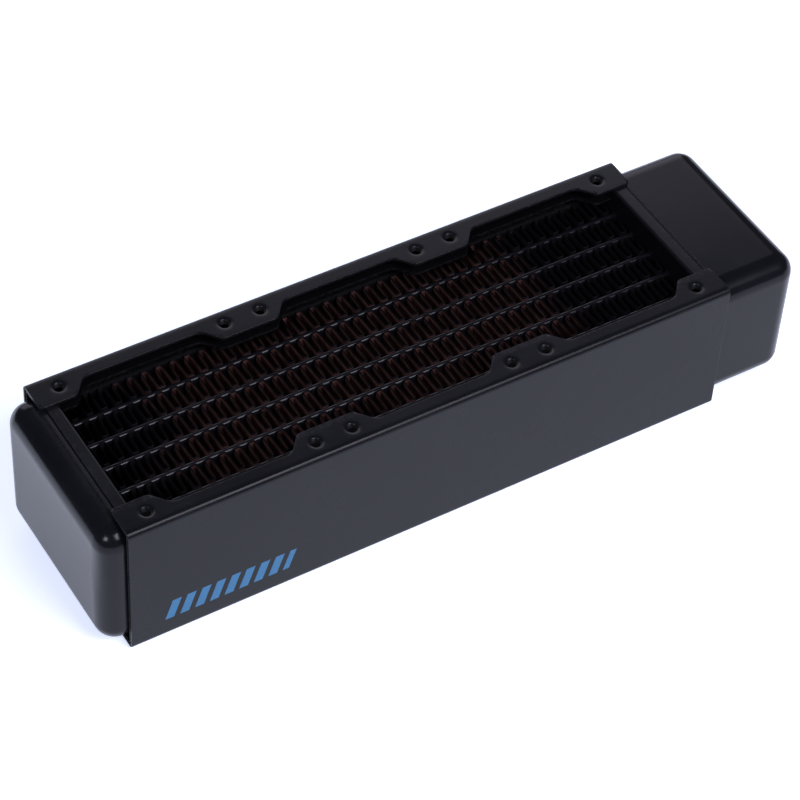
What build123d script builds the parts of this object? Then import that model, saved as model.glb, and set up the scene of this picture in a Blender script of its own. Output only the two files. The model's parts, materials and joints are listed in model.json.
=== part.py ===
"""Liquid cooling radiator for three 60 mm fans in a row, 46 mm thick.

A soldered core of flat tubes and corrugated fins runs between two header plates.
A short return tank closes one end and a longer port tank the other. Two bent side
channels carry the core and the threaded fan holes, with screw guards under the holes.

Frame: +X towards the port tank, +Y towards the far side, +Z up. The origin is the
centre of the middle fan's bolt square, on the face of the bottom flanges.
Millimetres.
"""

import os
from math import hypot

from build123d import *

# ---- fans and their bolt squares ----
fan_count = 3
fan_pitch = 61.0
fan_hole_spacing = 50.0
fan_hole_r = 1.5
collar_wall = 0.7
collar_drop = 1.1

# ---- side channels ----
housing_width = 61.0
housing_height = 46.0
end_margin = 8.0
sheet = 1.0
bend_r = 1.8
tab_depth = 10.5
waist_depth = 5.2
scallop_mouth = 44.0
scallop_floor = 35.5
scallop_fillet = 4.0
tab_fillet = 1.8

# ---- screw guards ----
guard_sheet = 0.8
guard_drop = 3.8
guard_bend_r = 1.2

# ---- core ----
tube_count = 5
tube_thickness = 1.9
tube_wall = 0.3
tube_stick_out = 1.0
core_depth = 30.0
tube_recess = 0.45
fin_height = 7.25
fin_waves = 40
fin_crest = 1.4
fin_sheet = 0.2
fin_end_gap = 0.4
side_plate_sheet = 1.0

# ---- header plates ----
header_depth = 5.4
header_web = 1.2
header_skirt = 0.6
header_edge_r = 0.6
header_corner_clearance = 0.2
header_recess = 0.2

# ---- tanks ----
tank_wall = 1.2
tank_edge_r = 6.0
return_tank_reach = 7.2
port_tank_reach = 26.0
divider_sheet = 1.0

# ---- G 1/4 port bushes ----
port_bore_r = 5.9
port_body_r = 8.0
port_flange_r = 9.5
port_flange_height = 1.1
port_body_depth = 4.3
port_mouth = 0.8
port_spacing = 28.0
port_from_end = 16.5

# ---- sizes that follow ----
housing_length = (fan_count - 1) * fan_pitch + fan_hole_spacing + 2 * end_margin
half_length = housing_length / 2
half_width = housing_width / 2
fan_centres = [(i - (fan_count - 1) / 2) * fan_pitch for i in range(fan_count)]
wall_inner_y = half_width - sheet
tab_edge_y = half_width - tab_depth
waist_edge_y = half_width - waist_depth

core_low_z = (housing_height - core_depth) / 2
core_mid_z = housing_height / 2
tube_depth = core_depth - 2 * tube_recess
tube_pitch = fin_height + tube_thickness
tube_rows = [(i - (tube_count - 1) / 2) * tube_pitch for i in range(tube_count)]
fin_rows = [(i - tube_count / 2) * tube_pitch for i in range(tube_count + 1)]
side_plate_y = fin_rows[-1] + fin_height / 2

header_outer_x = half_length - header_recess
header_inner_x = header_outer_x - header_depth
web_outer_x = header_inner_x + header_web
header_corner_r = bend_r - sheet + header_corner_clearance
guard_length = 2 * header_inner_x
tube_half_length = web_outer_x + tube_stick_out
fin_pitch = 2 * (header_inner_x - fin_end_gap) / fin_waves

tank_half_width = wall_inner_y - header_skirt
tank_half_height = core_mid_z - sheet - header_skirt
tank_low_z = core_mid_z - tank_half_height
tank_inner_r = tank_edge_r - tank_wall
return_end_x = -(half_length + return_tank_reach)
port_end_x = half_length + port_tank_reach
divider_y = tube_pitch / 2
port_x = port_end_x - port_from_end
port_rows = {"inlet": -port_spacing / 2, "outlet": port_spacing / 2}


def save(builder, name):
    """Label a finished piece and write its STEP file."""
    builder.part.label = name
    export_step(builder.part, f"parts/{name}.step")


def inner_edge_outline():
    """The part of a flange that is cut away, as points from the tabs' edge outwards.

    Drawn for the far side: a strip past the tabs, with one scallop for each fan.
    """
    beyond = half_length + sheet
    middle = tab_edge_y / 2
    points = [(-beyond, middle), (-beyond, tab_edge_y)]
    for centre in fan_centres:
        points += [
            (centre - scallop_mouth / 2, tab_edge_y),
            (centre - scallop_floor / 2, waist_edge_y),
            (centre + scallop_floor / 2, waist_edge_y),
            (centre + scallop_mouth / 2, tab_edge_y),
        ]
    return points + [(beyond, tab_edge_y), (beyond, middle)]


def scallops(side):
    """The face that cuts the scalloped inner edge of the flanges on one side."""
    outline = [(x, side * y) for x, y in inner_edge_outline()]
    with BuildSketch(Plane.XY) as cutter:
        with BuildLine():
            Polyline(*outline, close=True)
        make_face()
        corners = cutter.vertices().filter_by(lambda v: abs(v.X) < half_length)
        fillet(corners.group_by(lambda v: abs(v.Y))[0], tab_fillet)
        fillet(cutter.vertices().group_by(lambda v: abs(v.Y))[-1], scallop_fillet)
    return cutter.sketch


def bent_section(points, thickness, outer_r, length):
    """The section of a bent sheet, drawn at one end of a length centred on x = 0.

    The points follow the sheet's outer face, and the sheet lies to their left.
    """
    with BuildSketch(Plane.YZ.offset(-length / 2)) as section:
        with BuildLine():
            FilletPolyline(*points, radius=outer_r)
            offset(amount=thickness, side=Side.LEFT)
        make_face()
    return section.sketch


def side_channel(side):
    """One bent side wall with a flange at the top and bottom and six fan holes in each."""
    turn = [(tab_edge_y, 0), (half_width, 0), (half_width, housing_height), (tab_edge_y, housing_height)]
    outline = [(side * y, z) for y, z in turn]
    if side < 0:
        outline.reverse()
    hole_xs = [c + s * fan_hole_spacing / 2 for c in fan_centres for s in (-1, 1)]
    hole_y = side * fan_hole_spacing / 2
    with BuildPart() as channel:
        extrude(bent_section(outline, sheet, bend_r, housing_length), amount=housing_length)
        extrude(scallops(side), amount=housing_height, mode=Mode.SUBTRACT)
        for plane in (Plane.XY.offset(housing_height), Plane.XY.rotated((180, 0, 0))):
            face_y = hole_y * plane.y_dir.Y
            spots = [(x, face_y) for x in hole_xs]
            with BuildSketch(plane.offset(-sheet)):
                with Locations(*spots):
                    Circle(fan_hole_r + collar_wall)
            extrude(amount=-collar_drop)
            with BuildSketch(plane):
                with Locations(*spots):
                    Circle(fan_hole_r)
            extrude(amount=-(sheet + collar_drop), mode=Mode.SUBTRACT)
    return channel


def screw_guard(side, top):
    """A bent strip under the fan holes that stops a long screw short of the core."""
    depth = guard_drop + guard_sheet
    turn = [(tab_edge_y, depth), (wall_inner_y, depth), (wall_inner_y, bend_r)]
    outline = [(side * y, housing_height - z if top else z) for y, z in turn]
    if (side > 0) != top:
        outline.reverse()
    with BuildPart() as guard:
        extrude(bent_section(outline, guard_sheet, guard_bend_r, guard_length), amount=guard_length)
        extrude(scallops(side), amount=housing_height, mode=Mode.SUBTRACT)
    return guard


def core_side_plate(side):
    """The plate outside the last fin row, with two lips that meet the side wall."""
    inner = side_plate_y
    with BuildPart() as plate:
        with BuildSketch(Plane.YZ.offset(-header_inner_x)):
            with Locations((side * (inner + side_plate_sheet / 2), core_mid_z)):
                Rectangle(side_plate_sheet, core_depth)
            lip = wall_inner_y - inner
            for z in (core_low_z + side_plate_sheet / 2, core_low_z + core_depth - side_plate_sheet / 2):
                with Locations((side * (inner + lip / 2), z)):
                    Rectangle(lip, side_plate_sheet)
        extrude(amount=2 * header_inner_x)
    return plate


def flat_tube(row_y):
    """A brazed flat tube with round noses, open through both header plates."""
    with BuildPart() as tube:
        with BuildSketch(Plane.YZ.offset(-tube_half_length)):
            with Locations((row_y, core_mid_z)):
                SlotOverall(tube_depth, tube_thickness, rotation=90)
                SlotOverall(
                    tube_depth - 2 * tube_wall,
                    tube_thickness - 2 * tube_wall,
                    rotation=90,
                    mode=Mode.SUBTRACT,
                )
        extrude(amount=2 * tube_half_length)
    return tube


def wave_line():
    """The middle line of the corrugated strip: flat crests joined by leaning flanks."""
    reach = (fin_height - fin_sheet) / 2
    start = -fin_waves * fin_pitch / 2
    points = []
    for half_wave in range(2 * fin_waves):
        middle = start + (half_wave + 0.5) * fin_pitch / 2
        y = reach if half_wave % 2 else -reach
        points += [(middle - fin_crest / 2, y), (middle + fin_crest / 2, y)]
    return points


def thickened(points, thickness):
    """Both faces of a sheet around a middle line, with mitred corners, as one outline."""
    near, far = [], []
    last = len(points) - 1
    for i, (x, y) in enumerate(points):
        before = points[max(i - 1, 0)]
        after = points[min(i + 1, last)]
        arms = [(x - before[0], y - before[1]), (after[0] - x, after[1] - y)]
        units = [(dx / hypot(dx, dy), dy / hypot(dx, dy)) for dx, dy in arms if hypot(dx, dy) > 0]
        nx = -sum(u[1] for u in units) / len(units)
        ny = sum(u[0] for u in units) / len(units)
        reach = thickness / 2 / (nx * nx + ny * ny)
        near.append((x + nx * reach, y + ny * reach))
        far.append((x - nx * reach, y - ny * reach))
    return near + far[::-1]


def fin_strip(row_y):
    """One corrugated strip that fills the gap between two tubes."""
    outline = [(x, row_y + y) for x, y in thickened(wave_line(), fin_sheet)]
    with BuildPart() as strip:
        with BuildSketch(Plane.XY.offset(core_low_z)):
            with BuildLine():
                Polyline(*outline, close=True)
            make_face()
        extrude(amount=core_depth)
    return strip


def header_plate(end):
    """A pressed dish: a web with a slot for each tube, and a skirt around the tank's mouth."""
    outward = Plane(origin=(0, 0, 0), x_dir=(0, end, 0), z_dir=(end, 0, 0))
    width = 2 * wall_inner_y
    height = housing_height - 2 * sheet
    with BuildPart() as header:
        with BuildSketch(outward.offset(header_inner_x)):
            with Locations((0, core_mid_z)):
                Rectangle(width, height)
        extrude(amount=header_depth)
        fillet(header.edges().filter_by(Axis.X), header_corner_r)
        fillet(header.faces().sort_by(Axis.X)[0 if end > 0 else -1].edges(), header_edge_r)
        with BuildSketch(outward.offset(web_outer_x)):
            with Locations((0, core_mid_z)):
                Rectangle(2 * tank_half_width, 2 * tank_half_height)
        extrude(amount=header_depth, mode=Mode.SUBTRACT)
        with BuildSketch(outward.offset(header_inner_x)):
            with Locations(*[(y, core_mid_z) for y in tube_rows]):
                SlotOverall(tube_depth, tube_thickness, rotation=90)
        extrude(amount=header_depth, mode=Mode.SUBTRACT)
    return header


def tank_body(tank, end_x):
    """The drawn tank shared by both ends: a deep pan with round edges and an open mouth."""
    end = 1 if end_x > 0 else -1
    length = abs(end_x) - web_outer_x
    middle_x = end * (web_outer_x + length / 2)
    with Locations((middle_x, 0, core_mid_z)):
        Box(length, 2 * tank_half_width, 2 * tank_half_height)
    mouth_edges = tank.faces().sort_by(Axis.X)[0 if end > 0 else -1].edges()
    fillet([edge for edge in tank.edges() if edge not in mouth_edges], tank_edge_r)
    opening = tank.faces().sort_by(Axis.X)[0 if end > 0 else -1]
    offset(amount=-tank_wall, openings=opening)


def return_tank():
    """The short tank that turns the coolant round at the left end."""
    with BuildPart() as tank:
        tank_body(tank, return_end_x)
    return tank


def port_tank():
    """The long tank at the right end, with two round seats for the port bushes below."""
    with BuildPart() as tank:
        tank_body(tank, port_end_x)
        with BuildSketch(Plane.XY.offset(tank_low_z)):
            with Locations(*[(port_x, y) for y in port_rows.values()]):
                Circle(port_body_r)
        extrude(amount=tank_wall, mode=Mode.SUBTRACT)
    return tank


def port_tank_divider():
    """The plate that keeps the inlet side of the port tank from its outlet side."""
    length = port_end_x - tank_wall - web_outer_x
    height = 2 * (tank_half_height - tank_wall)
    with BuildPart() as divider:
        with BuildSketch(Plane.XZ.offset(-divider_y - divider_sheet / 2)) as outline:
            with Locations((web_outer_x + length / 2, core_mid_z)):
                Rectangle(length, height)
            fillet(outline.vertices().group_by(Axis.X)[-1], tank_inner_r)
        extrude(amount=divider_sheet)
    return divider


def port_bush(row_y):
    """A threaded ring soldered into the port tank's floor, with a flange outside."""
    flange_low_z = tank_low_z - port_flange_height
    with BuildPart() as bush:
        with BuildSketch(Plane.XY.offset(flange_low_z)):
            with Locations((port_x, row_y)):
                Circle(port_flange_r)
        extrude(amount=port_flange_height)
        with BuildSketch(Plane.XY.offset(tank_low_z)):
            with Locations((port_x, row_y)):
                Circle(port_body_r)
        extrude(amount=tank_wall + port_body_depth)
        with BuildSketch(Plane.XY.offset(flange_low_z)):
            with Locations((port_x, row_y)):
                Circle(port_bore_r)
        extrude(amount=port_flange_height + tank_wall + port_body_depth, mode=Mode.SUBTRACT)
        low_edges = bush.edges().filter_by(GeomType.CIRCLE).group_by(Axis.Z)[0]
        chamfer(low_edges.sort_by(SortBy.RADIUS)[0], port_mouth)
    return bush


os.makedirs("parts", exist_ok=True)

for place, side in (("near", -1), ("far", 1)):
    save(side_channel(side), f"side_channel_{place}")
    save(screw_guard(side, top=True), f"screw_guard_top_{place}")
    save(screw_guard(side, top=False), f"screw_guard_bottom_{place}")
    save(core_side_plate(side), f"core_side_plate_{place}")

for number, row_y in enumerate(tube_rows, start=1):
    save(flat_tube(row_y), f"flat_tube_{number}")

for number, row_y in enumerate(fin_rows, start=1):
    save(fin_strip(row_y), f"fin_strip_{number}")

save(header_plate(-1), "header_plate_return")
save(header_plate(1), "header_plate_port")
save(return_tank(), "return_tank")
save(port_tank(), "port_tank")
save(port_tank_divider(), "port_tank_divider")

for name, row_y in port_rows.items():
    save(port_bush(row_y), f"port_bush_{name}")
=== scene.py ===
"""Liquid cooling radiator: the finished meshes and materials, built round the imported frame.

Every piece is a surface worked out with numpy: a profile carried along the body, rings
round a tank, or a strip folded into waves. Lengths are in metres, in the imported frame:
+X towards the long port tank, +Y towards the far side, +Z up.
"""

import json

import bmesh
import bpy
import numpy as np
from bpy.props import FloatProperty, FloatVectorProperty, IntProperty, PointerProperty
from mathutils import Matrix, Vector


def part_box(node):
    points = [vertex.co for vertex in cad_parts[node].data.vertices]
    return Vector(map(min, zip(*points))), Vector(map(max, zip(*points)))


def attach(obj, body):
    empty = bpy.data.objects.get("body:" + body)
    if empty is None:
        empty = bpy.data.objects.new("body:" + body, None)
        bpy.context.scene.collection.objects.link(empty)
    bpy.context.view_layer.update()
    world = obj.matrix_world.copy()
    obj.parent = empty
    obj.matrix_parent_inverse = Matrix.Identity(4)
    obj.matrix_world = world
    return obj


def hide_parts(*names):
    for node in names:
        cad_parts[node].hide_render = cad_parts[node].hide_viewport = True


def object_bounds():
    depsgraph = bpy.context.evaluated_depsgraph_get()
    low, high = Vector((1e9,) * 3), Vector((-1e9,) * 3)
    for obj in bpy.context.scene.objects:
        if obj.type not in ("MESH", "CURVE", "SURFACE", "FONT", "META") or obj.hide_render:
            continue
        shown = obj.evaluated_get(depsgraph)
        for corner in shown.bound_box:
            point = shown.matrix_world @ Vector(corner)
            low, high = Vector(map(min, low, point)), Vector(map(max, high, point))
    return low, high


bl_info = {
    "name": "Liquid Cooling Radiator",
    "version": (1, 0, 0),
    "blender": (4, 5, 0),
    "location": "View3D > Sidebar > Radiator",
    "description": "Builds a finned radiator, its finishes and a small studio round a packed frame",
    "category": "Add Mesh",
}

MM = 0.001
WELD = 1e-7
NEAR = 1e-6
SHARP = np.radians(38)
QUARTER = np.pi / 2

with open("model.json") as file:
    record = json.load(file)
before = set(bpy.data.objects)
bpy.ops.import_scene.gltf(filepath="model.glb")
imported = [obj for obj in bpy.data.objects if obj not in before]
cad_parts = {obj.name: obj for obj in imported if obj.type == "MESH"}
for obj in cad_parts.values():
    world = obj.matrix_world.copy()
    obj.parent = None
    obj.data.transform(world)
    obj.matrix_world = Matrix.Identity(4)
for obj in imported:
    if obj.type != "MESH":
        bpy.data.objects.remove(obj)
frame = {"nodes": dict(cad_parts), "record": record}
record = frame["record"]
cad_low, cad_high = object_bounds()
channel_low, channel_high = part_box("side_channel_far")
half_length, half_width, housing_height = channel_high
tab_edge = channel_low.y
middle_z = housing_height / 2
tube_rows = [name for name in frame["nodes"] if name.startswith("flat_tube")]
fin_rows = [name for name in frame["nodes"] if name.startswith("fin_strip")]
fin_low, fin_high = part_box(fin_rows[0])
fan_mounts = [m for m in record["mounts"] if m["kind"] == "bolt_pattern" and m["axis"][2] > 0]
fan_centres = np.array([m["pos_m"][0] for m in fan_mounts])
hole_spacing = fan_mounts[0]["dims"]["spacing_x_mm"] * MM
hole_radius = fan_mounts[0]["dims"]["hole_r_mm"] * MM
hole_y = hole_spacing / 2
hole_xs = np.sort(np.concatenate([fan_centres - hole_y, fan_centres + hole_y]))


# ---- sizes and colours that a user would change ----


def size(name, description, millimetres):
    """A length property, given in millimetres and held in metres."""
    return FloatProperty(name=name, description=description, default=millimetres * MM, unit="LENGTH")


def colour(name, description, red, green, blue):
    """A linear colour property."""
    return FloatVectorProperty(
        name=name, description=description, default=(red, green, blue), subtype="COLOR", min=0, max=1
    )


def number(name, description, default, **settings):
    """A number property, with its unit if it has one."""
    return FloatProperty(name=name, description=description, default=default, **settings)


class RadiatorSizes(bpy.types.PropertyGroup):
    """Sheet thicknesses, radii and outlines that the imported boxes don't give."""

    sheet: size("Channel sheet", "Thickness of the side channels", 1.0)
    bend_radius: size("Channel bend", "Outer radius of the channels' bends", 1.8)
    cut_radius: size("Cut edge", "Rounding of cut sheet edges under the coat", 0.14)
    tab_corner: size("Tab corner", "Rounding of the flange's end corners", 1.3)
    waist_depth: size("Waist", "Depth of the flange in a scallop", 5.2)
    scallop_mouth: size("Scallop mouth", "Length of a scallop at the tabs", 44.0)
    scallop_floor: size("Scallop floor", "Length of a scallop at its floor", 35.5)
    scallop_fillet: size("Scallop fillet", "Rounding of the scallop's corners at its floor", 4.0)
    tab_fillet: size("Tab fillet", "Rounding of the scallop's corners at the tabs", 1.8)
    hole_window: size("Hole window", "Half the square round a hole that its rings fill", 3.0)
    mouth_radius: size("Hole mouth", "Radius of the drawn-in mouth of a hole", 2.65)
    mouth_depth: size("Mouth depth", "Depth of the drawn-in mouth of a hole", 0.45)
    collar_depth: size("Collar depth", "Depth of a hole's collar below the flange face", 2.1)
    collar_radius: size("Collar radius", "Outer radius of a hole's collar", 2.2)
    thread_pitch: size("Screw pitch", "Thread pitch of the fan holes", 0.5)
    thread_depth: size("Screw thread", "Depth of the thread in the fan holes", 0.27)
    guard_sheet: size("Guard sheet", "Thickness of the screw guards", 0.8)
    guard_bend: size("Guard bend", "Outer radius of the guards' bend", 1.2)
    plate_sheet: size("Side plate sheet", "Thickness of the core's side plates", 1.0)
    plate_bend: size("Side plate bend", "Outer radius of the side plates' lips", 1.2)
    header_web: size("Header web", "Thickness of the header plate's web", 1.2)
    header_skirt: size("Header skirt", "Thickness of the header plate's skirt", 0.6)
    header_radius: size("Header edge", "Rounding of the header plate's edges", 0.9)
    seam_place: size("Seam", "Distance of the soldered seam from the skirt's end", 1.2)
    seam_width: size("Seam width", "Width of the soldered seam", 0.6)
    seam_depth: size("Seam depth", "Depth of the soldered seam", 0.5)
    tail_drop: size("Tail drop", "How far the skirt lies lower beyond the seam", 0.42)
    tank_wall: size("Tank wall", "Thickness of the tanks", 1.2)
    tank_radius: size("Tank edge", "Rounding of the tanks' edges", 6.0)
    tube_wall: size("Tube wall", "Thickness of the flat tubes", 0.3)
    fin_sheet: size("Fin sheet", "Thickness of the corrugated strip", 0.09)
    fin_waves: IntProperty(name="Fin waves", description="Whole waves along a corrugated strip", default=40)
    port_bore: size("Port bore", "Radius at the crests of the port thread", 5.9)
    port_body: size("Port body", "Radius of a port bush inside its tank", 8.0)
    port_flange: size("Port flange", "Thickness of a port bush's flange", 1.1)
    port_pitch: size("Port pitch", "Pitch of the G 1/4 port thread", 1.337)
    port_thread: size("Port thread", "Depth of the port thread", 0.62)


class RadiatorFinish(bpy.types.PropertyGroup):
    """Colours and gloss of the finishes."""

    coat: colour("Coat", "Satin black coat of the body", 0.0060, 0.0064, 0.0085)
    overspray: colour("Overspray", "Dull black on the core", 0.0058, 0.0052, 0.0072)
    dust: colour("Dust", "Fine pale specks on the coat", 0.12, 0.12, 0.13)
    copper: colour("Copper", "Bare copper of the fins", 0.145, 0.072, 0.064)
    brass: colour("Brass", "Turned brass of the port bushes", 0.62, 0.43, 0.17)
    brass_stain: colour("Brass stain", "Darker stain on the brass", 0.30, 0.17, 0.06)
    ink: colour("Ink", "Printed bars on the near channel", 0.035, 0.155, 0.30)
    gloss: number("Coat roughness", "Mean roughness of the coat", 0.25, subtype="FACTOR")


class RadiatorStudio(bpy.types.PropertyGroup):
    """The camera's place round the object and the strength of the lights."""

    aim: FloatVectorProperty(
        name="Aim",
        description="Point that the camera faces",
        default=(-0.0088, -0.0225, 0.046),
        unit="LENGTH",
    )
    distance: number("Distance", "Camera to aim", 0.7751, unit="LENGTH")
    azimuth: number("Azimuth", "Turn of the camera to the left", np.radians(33.684), unit="ROTATION")
    elevation: number("Elevation", "Camera above the floor", np.radians(46.513), unit="ROTATION")
    roll: number("Roll", "Tilt of the camera", np.radians(3.762), unit="ROTATION")
    lens: number("Lens", "Focal length on the sensor's width, in mm", 131.0)
    room: number("Room light", "Strength of the dim room round the set", 0.08)
    corner: number("Corner light", "Power of the small left light", 4.0, unit="POWER")
    front: number("Front light", "Power of the front softbox", 10.5, unit="POWER")
    back: number("Back light", "Power of the back panel", 4.4, unit="POWER")
    floor_glow: number("Floor glow", "Light that the floor adds", 0.66)
    left_glow: number("Left glow", "Further light from the floor at the left", 1.02)


# ---- surfaces ----


def grid_part(points, wrap_rows=False, wrap_columns=False, keep=None):
    """Quads between neighbouring points of a grid. Where it wraps, the last row or column meets the first."""
    rows, columns = points.shape[:2]
    index = np.arange(rows * columns).reshape(rows, columns)
    if wrap_rows:
        index = np.vstack([index, index[:1]])
    if wrap_columns:
        index = np.hstack([index, index[:, :1]])
    quads = np.stack([index[:-1, :-1], index[1:, :-1], index[1:, 1:], index[:-1, 1:]], axis=-1)
    quads = quads.reshape(-1, 4) if keep is None else quads[keep]
    return points.reshape(-1, 3), quads


def rim(block):
    """The border points of a grid, once round."""
    return np.concatenate([block[0, :-1], block[:-1, -1], block[-1, :0:-1], block[:0:-1, 0]])


def unit(vectors):
    """Each vector divided by its own length."""
    return vectors / np.linalg.norm(vectors, axis=-1, keepdims=True)


def rounded_rim(points, half, radius):
    """A rectangle's rim pulled onto a rounded rectangle: each point goes to one radius from the nearest
    point of the rectangle that is smaller by that radius on every side."""
    scaled = points * (np.array(half) / np.abs(points).max(axis=0))
    core = np.clip(scaled, radius - np.array(half), np.array(half) - radius)
    return core + radius * unit(scaled - core)


def corner_lines(half, radius, steps, inside=()):
    """Grid lines across a width that are close together over each rounded corner, plus those given."""
    corner = half - radius + radius * np.tan(np.linspace(0, np.pi / 4, steps + 1))
    return np.unique(np.round(np.concatenate([-corner, np.atleast_1d(inside).ravel(), corner]), 8))


def quarter_round(radius, steps):
    """Points of a quarter round at a cut edge: distance from the edge, and how far the face has dropped."""
    angle = np.linspace(0, QUARTER, steps + 1)
    return radius * (1 - np.cos(angle)), radius * (1 - np.sin(angle))


def end_drop(x, end, radius):
    """How far a sheet's face drops where it rounds off towards the cut end at +end or -end."""
    inside = np.clip(radius - (end - np.abs(x)), 0, radius)
    return radius - np.sqrt(radius**2 - inside**2)


def bend(centre, radius, start, sweep, steps):
    """Middle line of a bend: the centre plus the radius times the cosine and sine of a steady angle."""
    angle = start + sweep * np.linspace(0, 1, steps + 1)
    direction = np.stack([np.cos(angle), np.sin(angle)], axis=-1)
    return np.array(centre) + radius * direction, direction


def sheet_surfaces(middle, normal, half):
    """Both faces of a sheet: its middle surface moved out and in along its normal by half its thickness."""
    return middle + normal * half[..., None], middle - normal * half[..., None]


def sheet_parts(outer, inner, keep=None):
    """A closed sheet: both faces, and a band round their common border."""
    border = np.stack([rim(outer), rim(inner)])
    return [grid_part(outer, keep=keep), grid_part(inner, keep=keep), grid_part(border, wrap_columns=True)]


def finish_piece(name, parts, material, slot, *nodes):
    """One mesh from several surfaces, welded where they meet. It rides on the body and replaces its nodes."""
    starts = np.cumsum([0] + [len(points) for points, quads in parts[:-1]])
    points = np.concatenate([points for points, quads in parts])
    quads = np.concatenate([quads + start for (_, quads), start in zip(parts, starts)])
    mesh = bpy.data.meshes.new(name)
    mesh.from_pydata(points, [], quads)
    edit = bmesh.new()
    edit.from_mesh(mesh)
    bmesh.ops.remove_doubles(edit, verts=edit.verts, dist=WELD)
    bmesh.ops.dissolve_degenerate(edit, edges=edit.edges, dist=WELD)
    bmesh.ops.recalc_face_normals(edit, faces=edit.faces)
    edit.to_mesh(mesh)
    edit.free()
    mesh.shade_smooth()
    mesh.set_sharp_from_angle(angle=SHARP)
    mesh.materials.append(material)
    piece = bpy.data.objects.new(name, mesh)
    bpy.context.scene.collection.objects.link(piece)
    weighted = piece.modifiers.new("face weighted shading", "WEIGHTED_NORMAL")
    weighted.keep_sharp = True
    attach(piece, "root")
    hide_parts(*nodes)
    return piece


# ---- flanges ----


def scallop_lines(sizes):
    """The slope of a scallop's side and the middles of its two corner arcs, from the fan's centre."""
    rise = half_width - sizes.waist_depth - tab_edge
    run = (sizes.scallop_mouth - sizes.scallop_floor) / 2
    slope = np.arctan2(rise, run)
    low_shift = sizes.tab_fillet * np.tan(slope / 2)
    high_shift = sizes.scallop_fillet * np.tan(slope / 2)
    return slope, sizes.scallop_mouth / 2 + low_shift, sizes.scallop_floor / 2 - high_shift


def flange_edge(x, sizes, end):
    """Distance of a flange's free edge from the middle plane at x.

    The edge is straight on the tabs, slopes straight into each scallop and is straight on its
    floor. Circular arcs join these, and another rounds the corner at each end of the flange.
    """
    slope, low_middle, high_middle = scallop_lines(sizes)
    waist = half_width - sizes.waist_depth
    low_r, high_r = sizes.tab_fillet, sizes.scallop_fillet
    from_fan = np.abs(x[:, None] - fan_centres).min(axis=1)
    edge = waist - (from_fan - sizes.scallop_floor / 2) * np.tan(slope)
    edge = np.clip(edge, tab_edge, waist)
    low_reach = low_middle - low_r * np.sin(slope)
    high_reach = high_middle + high_r * np.sin(slope)
    low_arc = tab_edge + low_r - np.sqrt(np.clip(low_r**2 - (from_fan - low_middle) ** 2, 0, None))
    high_arc = waist - high_r + np.sqrt(np.clip(high_r**2 - (from_fan - high_middle) ** 2, 0, None))
    edge = np.where((from_fan > low_reach) & (from_fan < low_middle), low_arc, edge)
    edge = np.where((from_fan > high_middle) & (from_fan < high_reach), high_arc, edge)
    corner = sizes.tab_corner
    past = np.clip(np.abs(x) - (end - corner), 0, corner)
    return edge + corner - np.sqrt(corner**2 - past**2)


def flange_stations(sizes, end, holes):
    """Places along a flange: close together on its arcs and its ends, and eight steps across each hole."""
    slope, low_middle, high_middle = scallop_lines(sizes)
    low_arc = sizes.tab_fillet * np.sin(slope)
    high_arc = sizes.scallop_fillet * np.sin(slope)
    steps = np.linspace(0, 1, 8)
    near_fan = np.concatenate([low_middle - low_arc * steps, high_middle + high_arc * steps, [0]])
    around = (fan_centres[:, None] + np.concatenate([near_fan, -near_fan])).ravel()
    corner = end - sizes.tab_corner * (1 - np.sin(QUARTER * steps))
    cut, _ = quarter_round(sizes.cut_radius, 4)
    ends = np.concatenate([corner, end - cut])
    stations = np.concatenate([around, ends, -ends])
    window = sizes.hole_window
    in_window = (np.abs(stations[:, None] - holes) < window + NEAR).any(axis=1)
    across = (holes[:, None] + window * np.linspace(-1, 1, 9)).ravel()
    return np.unique(np.round(np.concatenate([stations[~in_window], across]), 7))


def carry(rows, normals, halves, x, side):
    """A section carried along x: rows of (y, z) that may vary along the way, turned to one side."""
    height = np.stack([np.broadcast_to(row[1], x.shape) for row in rows])
    across = np.stack([np.broadcast_to(row[0], x.shape) for row in rows])
    middle = np.stack([np.broadcast_to(x, across.shape), side * across, height], axis=-1)
    normals = np.array(normals)
    flat = np.stack([np.zeros(len(normals)), side * normals[:, 0], normals[:, 1]], axis=-1)
    return middle, np.broadcast_to(flat[:, None], middle.shape), np.array(halves)[:, None] + 0 * x


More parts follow.
